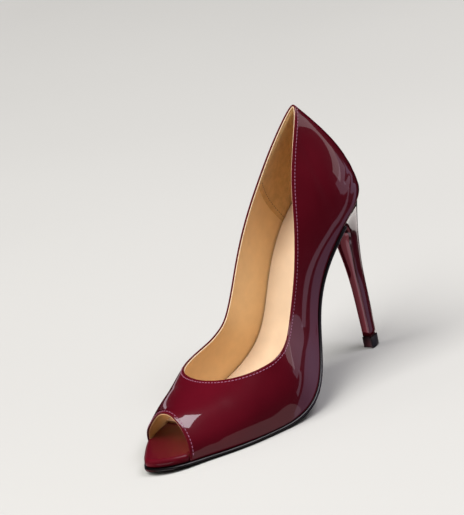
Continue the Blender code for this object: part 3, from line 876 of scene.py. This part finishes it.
def linear(hex_colour):
    """Linear RGB of an sRGB hex colour."""
    channels = [int(hex_colour[i : i + 2], 16) / 255 for i in (1, 3, 5)]
    return tuple(c / 12.92 if c <= 0.04045 else ((c + 0.055) / 1.055) ** 2.4 for c in channels)


def per_mm(size):
    """Texture scale that repeats about every size millimetres."""
    return 1.0 / (size * MM)


def shade(colour, factor):
    return tuple(min(c * factor, 1.0) for c in colour[:3]) + (1.0,)


def add_node(material, kind, inputs=(), **settings):
    """Adds a node with its settings; each input gets a value or is linked to another node's output."""
    made = material.node_tree.nodes.new(kind)
    for name, value in settings.items():
        setattr(made, name, value)
    wire(material, made, inputs)
    return made


def wire(material, node, inputs):
    for name, value in dict(inputs).items():
        if isinstance(value, bpy.types.NodeSocket):
            material.node_tree.links.new(value, node.inputs[name])
        else:
            node.inputs[name].default_value = value


# Fine textures that show as bump: the node, its output, settings and inputs, and the depth in millimetres
PORES = ("ShaderNodeTexVoronoi", "Distance", {"feature": "SMOOTH_F1"}, {}, 0.1)
GRAIN = ("ShaderNodeTexVoronoi", "Distance", {"feature": "DISTANCE_TO_EDGE"}, {}, 0.1)
NAP = ("ShaderNodeTexNoise", "Fac", {}, {"Detail": 4.0, "Roughness": 0.7}, 0.2)
SCUFFS = ("ShaderNodeTexNoise", "Fac", {}, {"Detail": 5.0}, 0.1)
PEBBLE = ("ShaderNodeTexNoise", "Fac", {}, {"Detail": 2.0}, 0.1)
PATCH_ROUGHNESS = 0.55
PATCH_LOW, PATCH_HIGH = 0.35, 0.65  # part of the noise over which the colour drifts


def finish(name, colour, patch, shades, surface, bump=None, dull=None, detail=3.0):
    """A material whose colour drifts between two shades, over patches of a size in millimetres.

    Surface holds the shader's own values. Bump gives a fine texture, its size in millimetres and its
    strength, and dull the two ends of a roughness that drifts with the colour."""
    made = bpy.data.materials.new(name)
    made.use_nodes = True
    place_of = add_node(made, "ShaderNodeTexCoord").outputs["Object"]
    patches = {"Scale": per_mm(patch), "Detail": detail, "Roughness": PATCH_ROUGHNESS}
    noise = add_node(made, "ShaderNodeTexNoise", {"Vector": place_of, **patches}).outputs["Fac"]
    ends = {"From Min": PATCH_LOW, "From Max": PATCH_HIGH}
    drift = add_node(made, "ShaderNodeMapRange", {"Value": noise, **ends}).outputs["Result"]
    first, second = (shade(tuple(colour), factor) for factor in shades)
    blend = add_node(made, "ShaderNodeMix", {0: drift, 6: first, 7: second}, data_type="RGBA")
    inputs = {"Base Color": blend.outputs[2], **surface}
    if dull:
        ends = {"To Min": dull[0], "To Max": dull[1]}
        rough = add_node(made, "ShaderNodeMapRange", {"Value": noise, **ends})
        inputs["Roughness"] = rough.outputs["Result"]
    if bump:
        (kind, output, settings, values, depth), size, strength = bump
        texture = add_node(made, kind, {"Vector": place_of, "Scale": per_mm(size), **values}, **settings)
        height = {"Strength": strength, "Distance": depth * MM, "Height": texture.outputs[output]}
        inputs["Normal"] = add_node(made, "ShaderNodeBump", height).outputs["Normal"]
    wire(made, made.node_tree.nodes["Principled BSDF"], inputs)
    return made


def patent_leather(colours):
    """Patent leather: calf with a thick polished lacquer that mirrors lights sharply over a deep colour."""
    leather = {"Roughness": 0.34, "Specular IOR Level": 0.1}
    lacquer = {"Coat Weight": 1.0, "Coat Roughness": 0.025, "Coat IOR": 1.52}
    surface = {**leather, **lacquer}
    name = "patent_leather_lacquered"
    return finish(name, colours.patent, 22.0, (0.94, 1.06), surface, bump=(PORES, 0.9, 0.06))


def wrap_leather(colours):
    """Insole wrap: the same burgundy leather with a thin satin lacquer, so it stays deep red."""
    leather = {"Roughness": 0.4, "Specular IOR Level": 0.12}
    surface = {**leather, "Coat Weight": 0.2, "Coat Roughness": 0.1}
    return finish("wrap_leather_satin", colours.wrap, 12.0, (0.94, 1.06), surface, bump=(PORES, 0.8, 0.1))


def lining_leather(colours):
    """Calf lining inside the shoe: smooth tan leather with a fine grain and a dull sheen."""
    surface = {"Specular IOR Level": 0.4}
    shades = (0.96, 1.04)
    grain = (GRAIN, 0.7, 0.18)
    return finish("calf_lining_tan", colours.lining, 9.0, shades, surface, grain, dull=(0.42, 0.54))


def cut_edge(colours):
    """Cut edge of the lining leather: paler, matt fibres."""
    return finish("calf_cut_edge_cream", colours.cut_edge, 1.5, (0.85, 1.05), {"Roughness": 0.8})


def suede(colours):
    """Suede of the heel grip: brushed flesh side, matt, with a short nap that brightens at its rim."""
    nap = {"Sheen Weight": 0.08, "Sheen Roughness": 0.5}
    surface = {"Roughness": 0.95, "Specular IOR Level": 0.2, **nap}
    return finish("suede_heel_grip", colours.grip, 4.0, (0.92, 1.10), surface, (NAP, 0.5, 0.5), detail=6.0)


def sock_leather(colours):
    """Sock leather: pale beige sheepskin, rolled smooth, with a soft satin light."""
    grain = (GRAIN, 0.8, 0.12)
    return finish("sheepskin_sock_beige", colours.sock, 14.0, (0.94, 1.03), {}, grain, dull=(0.36, 0.46))


def sole_edge(colours):
    """Sole edge: leather stained black and burnished with wax, so it shines along its length."""
    surface = {"Roughness": 0.35, "Coat Weight": 0.3, "Coat Roughness": 0.2}
    return finish("sole_edge_burnished", colours.sole, 5.0, (0.8, 1.3), surface)


def sole_leather(colours):
    """Underside of the sole: black finished leather, satin, with faint scuffs along the walk."""
    dull = (0.38, 0.62)
    scuffs = (SCUFFS, 0.6, 0.15)
    return finish("sole_leather_black", colours.sole, 7.0, (0.9, 2.2), {}, scuffs, dull, detail=6.0)


def lift_rubber(colours):
    """Top lift: moulded black polyurethane rubber, matt, with a fine pebble."""
    pebble = (PEBBLE, 0.4, 0.25)
    return finish("polyurethane_lift_black", colours.lift, 3.0, (0.8, 1.4), {"Roughness": 0.48}, pebble)


def thread(name, colour):
    """Bonded polyester thread: twisted filaments with a silky light."""
    surface = {"Roughness": 0.38, "Sheen Weight": 0.3}
    return finish(name, colour, 2.0, (0.8, 1.2), surface, bump=(PEBBLE, 0.25, 0.4))


def floor_paint(colours):
    """Studio floor: pale matt paint with a faint cloudiness."""
    surface = {"Roughness": 0.9, "Specular IOR Level": 0.1}
    return finish("studio_floor_matt", colours.floor, 400.0, (0.99, 1.01), surface, detail=1.0)


# Properties


def colour_property(name, description, hex_colour):
    limits = {"size": 3, "min": 0.0, "max": 1.0, "default": linear(hex_colour)}
    return bpy.props.FloatVectorProperty(name=name, description=description, subtype="COLOR", **limits)


class PumpColours(bpy.types.PropertyGroup):
    """Colours of the shoe's materials."""

    patent: colour_property("Patent", "Lacquered leather of upper and heel", "#550a18")
    wrap: colour_property("Insole wrap", "Leather round the insole's edge", "#560a18")
    lining: colour_property("Lining", "Leather inside the upper", "#eac690")
    cut_edge: colour_property("Cut edge", "Cut edge of the lining along the topline", "#e9cfae")
    grip: colour_property("Heel grip", "Suede at the inside of the heel", "#d2ae78")
    sock: colour_property("Sock", "Leather under the foot", "#d9c0a2")
    sole: colour_property("Sole", "Sole leather and its edge", "#0c0a0b")
    lift: colour_property("Top lift", "Walking surface of the heel", "#121213")
    # Thread: its own wine colour, lightened as a painted highlight that stands in for the glints of the
    # stitches
    thread: colour_property("Thread", "Stitching along topline and open toe", "#9a5a78")
    grip_thread: colour_property("Grip thread", "Stitching along the heel grip", "#7a5028")
    floor: colour_property("Floor", "Studio floor", "#bfbfbc")


def size_property(name, description, millimetres):
    description += ", in millimetres"
    return bpy.props.FloatProperty(name=name, description=description, default=millimetres)


def angle_property(name, description, degrees):
    angle = math.radians(degrees)
    return bpy.props.FloatProperty(name=name, description=description, subtype="ANGLE", default=angle)


def length_property(name, description, metres):
    return bpy.props.FloatProperty(name=name, description=description, unit="LENGTH", default=metres)


class PumpSizes(bpy.types.PropertyGroup):
    """Sizes of the shoe's stitching."""

    stitch_pitch: size_property("Stitch pitch", "Distance from stitch to stitch", 2.1)
    stitch_length: size_property("Stitch length", "Length of thread that shows", 1.65)
    thread_width: size_property("Thread width", "Width of the thread", 0.5)
    thread_height: size_property("Thread height", "How far a stitch stands up", 0.22)
    stitch_inset: size_property("Stitch inset", "Distance of the stitching from the edge", 1.9)


class PumpStage(bpy.types.PropertyGroup):
    """Camera and floor."""

    azimuth: angle_property("Azimuth", "Camera's turn from the toe to the outer side", 47.0)
    elevation: angle_property("Elevation", "Camera's height over the floor", 17.0)
    roll: angle_property("Roll", "Camera's turn about its own axis", -12.0)
    distance: length_property("Distance", "Camera to the point it looks at", 1.48)
    lens: bpy.props.FloatProperty(
        name="Lens", description="Focal length on a 36 mm frame", unit="CAMERA", default=168.0
    )
    aim: bpy.props.FloatVectorProperty(
        name="Aim",
        description="Point the camera looks at",
        subtype="TRANSLATION",
        size=3,
        default=(-0.069, 0.06, 0.066),
    )
    floor_size: length_property("Floor size", "Side of the studio floor", 6.0)


# Operators


class PUMP_OT_upper(bpy.types.Operator):
    """Patent leather shell of the upper, with its folded edges, creases and back seam"""

    bl_idname = "pump.upper"
    bl_label = "Make upper"

    def execute(self, context):
        shell = shell_mesh(wall_shell(0.0, PATENT_THICKNESS, 0.0, True))
        shoe_object("upper_patent", shell, [patent_leather(context.scene.pump_colours)], "upper")
        return {"FINISHED"}


class PUMP_OT_lining(bpy.types.Operator):
    """Leather lining with its pale cut edge, and the suede heel grip"""

    bl_idname = "pump.lining"
    bl_label = "Make lining"

    def execute(self, context):
        colours = context.scene.pump_colours
        near = PATENT_THICKNESS + LINING_CLEARANCE
        points = wall_shell(near, WALL, LINING_EDGE_DROP, False)
        columns, profile = points.shape[:2]
        on_rim = np.zeros(profile, int)
        on_rim[WALL_ROWS - 1 : WALL_ROWS + RIM_STEPS - 2] = 1
        by_face = np.tile(on_rim, columns)
        finishes = [lining_leather(colours), cut_edge(colours)]
        shoe_object("upper_lining", shell_mesh(points), finishes, face_materials=by_face)
        shoe_object("heel_grip", grip_mesh(), [suede(colours)])
        return {"FINISHED"}


def grip_field(round_way, row):
    """Points and outward normals on the inside of the heel, from one front edge round the back."""

    def on_last(way, row):
        """Way runs from -1 (outer front edge) over 0 (back) to 1 (inner front edge)."""
        front = GRIP_FRONT_LOW + (GRIP_FRONT_HIGH - GRIP_FRONT_LOW) * row**GRIP_FRONT_BEND
        share = 1 - (1 - front) * way**2
        line_way = (share - THROAT_SHARE) / (1 - THROAT_SHARE)
        top_lateral = topline(line_way, LATERAL)[1] - GRIP_TOP_GAP
        top_medial = topline(line_way, MEDIAL)[1] + GRIP_TOP_GAP
        v_lateral = GRIP_FOOT_V + (top_lateral - GRIP_FOOT_V) * row
        v_medial = 1 - GRIP_FOOT_V + (top_medial - 1 + GRIP_FOOT_V) * row
        return last_point(share, np.where(way < 0, v_lateral, v_medial))

    points = on_last(round_way, row)
    around = np.gradient(points, axis=0)
    above = on_last(round_way, np.minimum(row + ROW_PROBE, 1.0))
    below = on_last(round_way, np.maximum(row - ROW_PROBE, 0.0))
    return points, unit(np.cross(around, above - below))


def grip_mesh():
    ways = np.linspace(-1.0, 1.0, GRIP_COLUMNS)
    way, row = np.meshgrid(ways, np.linspace(0.0, 1.0, GRIP_ROWS), indexing="ij")
    points, normals = grip_field(way, row)
    foot_and_top = row * GRIP_BORDER_STRETCH, (1 - row) * GRIP_BORDER_STRETCH
    border = np.minimum.reduce([1 - np.abs(way), *foot_and_top])
    thick = GRIP_THICKNESS * np.sqrt(np.clip(border / GRIP_BORDER, 0.0, 1.0))
    face = points - normals * (WALL + thick)[..., None]
    sunk = points - normals * (WALL - GRIP_SINK)
    return slab_mesh(face[::-1], sunk[::-1])


class PUMP_OT_stitching(bpy.types.Operator):
    """Rows of stitches along the topline, the open toe and the heel grip"""

    bl_idname = "pump.stitching"
    bl_label = "Make stitching"

    def execute(self, context):
        colours = context.scene.pump_colours
        sizes = context.scene.pump_sizes
        # The upper's thread colour is partly painted highlight: the wine thread is lightened to stand in for
        # its glints
        upper_thread_painted_glint = thread("polyester_thread_wine_painted_glint", colours.thread)
        path, normals = edge_path(sizes.stitch_inset, True)
        shoe_object("topline_stitches", stitch_mesh(path, normals, True, sizes), [upper_thread_painted_glint])
        path, normals = edge_path(sizes.stitch_inset, False)
        arch = PEEP_STEPS - 1
        order = list(range(len(path) - arch, len(path))) + list(range(arch + 1))
        toe = stitch_mesh(path[order], normals[order], False, sizes)
        shoe_object("open_toe_stitches", toe, [upper_thread_painted_glint])
        grip_thread = thread("polyester_thread_tan", colours.grip_thread)
        row = np.linspace(GRIP_STITCH_MARGIN, 1 - GRIP_STITCH_MARGIN, GRIP_STITCH_POINTS)
        points, faces = np.empty((0, 3)), []
        for end in (-1, 1):
            ways = np.sort(end * np.array(GRIP_STITCH_WAYS))
            field, normals = grip_field(*np.meshgrid(ways, row, indexing="ij"))
            inner = field[1] - normals[1] * (WALL + GRIP_THICKNESS)
            more_points, more_faces = stitch_mesh(inner, -normals[1], False, sizes)
            faces += [tuple(len(points) + p for p in face) for face in more_faces]
            points = np.concatenate([points, more_points])
        shoe_object("grip_stitches", (points, faces), [grip_thread])
        return {"FINISHED"}


class PUMP_OT_footbed(bpy.types.Operator):
    """Wrapped insole with its rolled toe edge, and the sock over it"""

    bl_idname = "pump.footbed"
    bl_label = "Make footbed"

    def execute(self, context):
        colours = context.scene.pump_colours
        insole = plate_mesh(insole_rings())
        shoe_object("insole_wrapped", insole, [wrap_leather(colours)], "insole")
        sock = plate_mesh(sock_rings())
        shoe_object("sock_lining", sock, [sock_leather(colours)], "sock")
        return {"FINISHED"}


class PUMP_OT_outsole(bpy.types.Operator):
    """Thin sole with a burnished edge"""

    bl_idname = "pump.outsole"
    bl_label = "Make outsole"

    def execute(self, context):
        colours = context.scene.pump_colours
        rings = outsole_rings()
        points, faces = plate_mesh(rings)
        count = len(rings[0])
        underside = np.zeros(len(faces), int)
        by_ring = np.tile(np.arange(len(rings) - 1), count)
        underside[: len(by_ring)] = by_ring < ROLL_STEPS // 2
        underside[len(by_ring) : len(by_ring) + count // 2 - 1] = 1
        finishes = [sole_edge(colours), sole_leather(colours)]
        shoe_object("outsole_leather", (points, faces), finishes, "outsole", underside)
        return {"FINISHED"}


class PUMP_OT_heel(bpy.types.Operator):
    """Covered stiletto heel and its top lift"""

    bl_idname = "pump.heel"
    bl_label = "Make heel"

    def execute(self, context):
        colours = context.scene.pump_colours
        patent = bpy.data.materials["patent_leather_lacquered"]
        shoe_object("heel_covered", column_mesh(heel_rings()), [patent], "heel")
        lift = column_mesh(lift_rings())
        shoe_object("heel_top_lift", lift, [lift_rubber(colours)], "top_lift")
        return {"FINISHED"}


# Studio lights that face the shoe: direction (turn from the toe, height over the floor, degrees), tilt about
# that direction, distance, width and height in metres, power in watts, colour, and whether the lacquer
# mirrors them. Many lie below the floor, where the upright wall mirrors them. So the floor is kept out of
# mirrors, and it gives the shoe no bounced light.
LIGHT_TARGET = Vector((0.0, 0.0, 0.06))
AIR_COLOUR = "#f4f3f0"
AIR_STRENGTH = 0.18
FLOOR_DROP = 0.2 * MM  # keeps the floor from touching the sole
LIGHT_COLUMNS = (
    "name", "turn", "height", "tilt", "distance", "width", "tall", "power", "colour", "mirrored"
)
LIGHTS = (
    ("key", 119.0, 60.0, 0.0, 3.0, 1.4, 1.4, 46.0, "#fbf7ff", True),
    ("fill_front", 0.0, 58.0, 0.0, 6.0, 4.8, 4.8, 520.0, "#fffdfa", False),
    ("fill_low", -40.0, 12.0, 0.0, 1.5, 0.8, 0.8, 5.0, "#fffaf6", False),
    ("strip_wall", 135.0, -10.0, 35.0, 1.5, 0.9, 0.12, 0.26, "#e6d6f0", True),
    ("panel_ball", 148.0, 5.0, 12.0, 1.5, 1.0, 0.24, 0.6, "#e6d6f0", True),
    ("panel_waist", 148.0, -17.0, 32.0, 1.5, 1.9, 0.32, 1.1, "#d8caf4", True),
    ("panel_counter", 150.0, 14.0, 20.0, 1.5, 0.8, 0.26, 0.8, "#fbe8ec", True),
    ("panel_toe", 97.0, -26.0, -22.0, 1.5, 1.2, 0.37, 0.8, "#f2dcdc", True),
    ("panel_breast", -38.0, -24.0, 0.0, 1.5, 1.9, 0.7, 5.6, "#ff8e9a", True),
    ("panel_seat", -166.0, -26.0, 0.0, 1.5, 0.7, 0.36, 0.9, "#fff8f4", True),
    ("strip_roll", 35.0, -20.0, 0.0, 1.5, 1.3, 0.1, 4.0, "#fff0f4", True),
    ("strip_inner", -100.0, -8.0, -25.0, 1.5, 1.5, 0.16, 0.6, "#f0e2ee", True),
    ("panel_inner", -75.0, -26.0, 10.0, 1.5, 1.2, 0.3, 0.8, "#f0e2ee", True),
)


class PUMP_OT_stage(bpy.types.Operator):
    """Pale floor, soft lights and the camera"""

    bl_idname = "pump.stage"
    bl_label = "Make stage"

    def execute(self, context):
        scene = context.scene
        stage = scene.pump_stage
        half = stage.floor_size / 2
        mesh = bpy.data.meshes.new("studio_floor")
        plan = ((-half, -half), (half, -half), (half, half), (-half, half))
        mesh.from_pydata([(x, y, -FLOOR_DROP) for x, y in plan], [], [(0, 1, 2, 3)])
        mesh.materials.append(floor_paint(scene.pump_colours))
        floor = bpy.data.objects.new("studio_floor", mesh)
        scene.collection.objects.link(floor)
        floor.visible_glossy = False
        floor.visible_diffuse = False
        for row in LIGHTS:
            self.add_light(scene, dict(zip(LIGHT_COLUMNS, row)))
        world = bpy.data.worlds.new("studio_air")
        world.use_nodes = True
        background = world.node_tree.nodes["Background"]
        background.inputs["Color"].default_value = (*linear(AIR_COLOUR), 1.0)
        background.inputs["Strength"].default_value = AIR_STRENGTH
        world.cycles_visibility.glossy = False
        scene.world = world
        self.add_camera(scene, stage)
        scene.view_settings.view_transform = "Standard"
        return {"FINISHED"}

    @staticmethod
    def outlook(turn, height, roll):
        """Direction from the shoe, and the rotation of what looks back along it."""
        level_part = math.cos(height)
        away = Vector((math.sin(turn) * level_part, -math.cos(turn) * level_part, math.sin(height)))
        return away, away.to_track_quat("Z", "Y").to_matrix() @ Matrix.Rotation(roll, 3, "Z")

    def add_light(self, scene, size):
        data = bpy.data.lights.new(size["name"], "AREA")
        data.shape = "RECTANGLE"
        data.size = size["width"]
        data.size_y = size["tall"]
        data.energy = size["power"]
        data.color = linear(size["colour"])
        lamp = bpy.data.objects.new(size["name"], data)
        away, turn = self.outlook(*(math.radians(size[name]) for name in ("turn", "height", "tilt")))
        lamp.location = LIGHT_TARGET + away * size["distance"]
        lamp.rotation_euler = turn.to_euler()
        lamp.visible_glossy = size["mirrored"]
        scene.collection.objects.link(lamp)

    def add_camera(self, scene, stage):
        data = bpy.data.cameras.new("photo_camera")
        data.lens = stage.lens
        camera = bpy.data.objects.new("photo_camera", data)
        away, turn = self.outlook(stage.azimuth, stage.elevation, stage.roll)
        camera.matrix_world = Matrix.Translation(Vector(stage.aim) + away * stage.distance) @ turn.to_4x4()
        scene.collection.objects.link(camera)
        scene.camera = camera


class PUMP_PT_panel(bpy.types.Panel):
    """Buttons and settings of the pump"""

    bl_idname = "PUMP_PT_panel"
    bl_label = "Peep-toe pump"
    bl_space_type = "VIEW_3D"
    bl_region_type = "UI"
    bl_category = "Pump"

    def draw(self, context):
        for operator in OPERATORS:
            self.layout.operator(operator.bl_idname)
        for group in (context.scene.pump_colours, context.scene.pump_sizes, context.scene.pump_stage):
            for name in group.bl_rna.properties.keys():
                if name not in ("rna_type", "name"):
                    self.layout.prop(group, name)


OPERATORS = (
    PUMP_OT_upper,
    PUMP_OT_lining,
    PUMP_OT_stitching,
    PUMP_OT_footbed,
    PUMP_OT_outsole,
    PUMP_OT_heel,
    PUMP_OT_stage,
)
GROUPS = {"pump_colours": PumpColours, "pump_sizes": PumpSizes, "pump_stage": PumpStage}


def register():
    for kind in (*GROUPS.values(), *OPERATORS, PUMP_PT_panel):
        bpy.utils.register_class(kind)
    for name, group in GROUPS.items():
        setattr(bpy.types.Scene, name, bpy.props.PointerProperty(type=group))


def unregister():
    for name in GROUPS:
        delattr(bpy.types.Scene, name)
    for kind in (PUMP_PT_panel, *OPERATORS[::-1], *GROUPS.values()):
        bpy.utils.unregister_class(kind)


def main():
    register()
    bpy.ops.pump.upper()
    bpy.ops.pump.lining()
    bpy.ops.pump.stitching()
    bpy.ops.pump.footbed()
    bpy.ops.pump.outsole()
    bpy.ops.pump.heel()
    bpy.ops.pump.stage()


if __name__ == "__main__":
    main()
